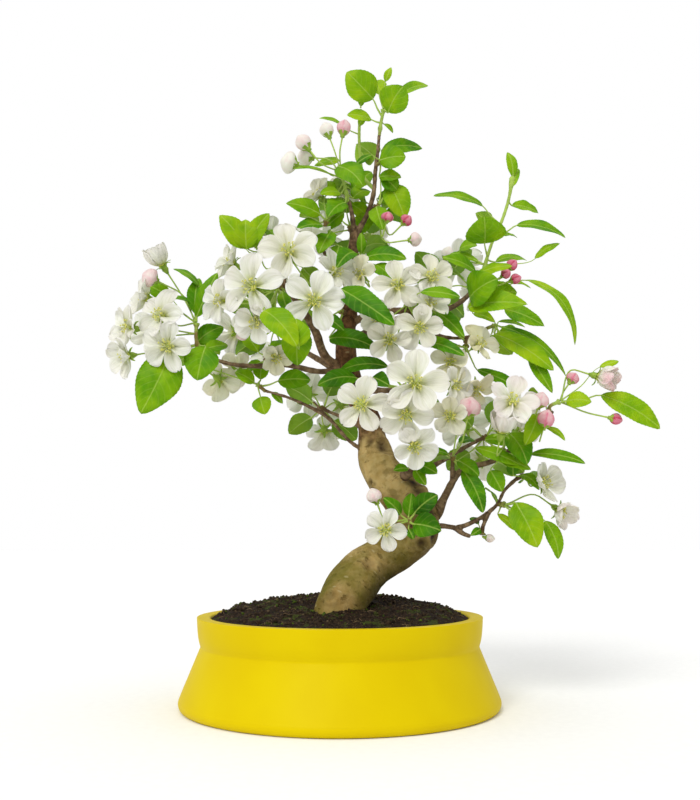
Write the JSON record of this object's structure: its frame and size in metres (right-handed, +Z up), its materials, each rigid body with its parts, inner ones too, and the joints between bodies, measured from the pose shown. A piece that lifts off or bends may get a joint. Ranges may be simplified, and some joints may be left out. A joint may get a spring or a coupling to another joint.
{
  "type": "crabapple bonsai",
  "caption": "Flowering crabapple bonsai with a bent trunk, leafy sprays, white blossoms and pink buds, in a low round glazed pot with a flared foot.",
  "frame": {"origin": "centre of the pot's flat underside", "axes": "+Z up, -Y towards the side that the tree is composed for, +X to the right as seen from there"},
  "size_m": [0.3345, 0.192, 0.406],
  "materials": {
    "glazed_ceramic": "satin yellow glaze",
    "plastic_mesh": "matte black mesh",
    "soil": "crumbly damp potting soil",
    "bark": "grey-brown bark with green algae",
    "leaf": "soft satin leaf",
    "petal": "soft matte petal"
  },
  "bodies": {
    "root": {"pot": "glazed_ceramic", "drain_screen_left": "plastic_mesh", "drain_screen_right": "plastic_mesh", "soil": "soil", "trunk_and_branches": "bark", "spray_left_tip": "leaf", "spray_left_arm_spur": "leaf", "spray_left_low": "leaf", "spray_mid_left_front": "leaf", "spray_mid_left_top": "leaf", "spray_top_left": "leaf", "spray_leader_left": "leaf", "spray_thin_shoot": "leaf", "spray_leader_right": "leaf", "spray_leader_right_mid": "leaf", "spray_leader_right_low": "leaf", "spray_crown": "leaf", "spray_centre_high": "leaf", "spray_trunk_spur": "leaf", "spray_right_knot": "leaf", "spray_right_shoot": "leaf", "spray_right_crown": "leaf", "spray_right_mid": "leaf", "spray_right_tip": "leaf", "spray_right_fork": "leaf", "spray_fork_spur": "leaf", "spray_middle_low": "leaf", "spray_middle": "leaf", "spray_low_front": "leaf", "spray_low_arm": "leaf", "spray_low_arm_tip": "leaf", "spray_low_arm_spur": "leaf", "spray_back_left": "leaf", "spray_back_right": "leaf", "spray_back_low": "leaf", "spray_back_top": "leaf", "spray_back_mid": "leaf", "blossoms_01": "petal", "blossoms_02": "petal", "blossoms_03": "petal", "blossoms_04": "petal", "blossoms_05": "petal", "blossoms_06": "petal", "blossoms_07": "petal", "blossoms_08": "petal", "blossoms_09": "petal", "blossoms_10": "petal", "blossoms_11": "petal", "blossoms_12": "petal", "blossoms_13": "petal", "blossoms_14": "petal", "blossoms_15": "petal", "blossoms_16": "petal", "blossoms_17": "petal", "blossoms_18": "petal", "blossoms_19": "petal", "blossoms_20": "petal", "blossoms_21": "petal", "blossoms_22": "petal"}
  },
  "joints": []
}
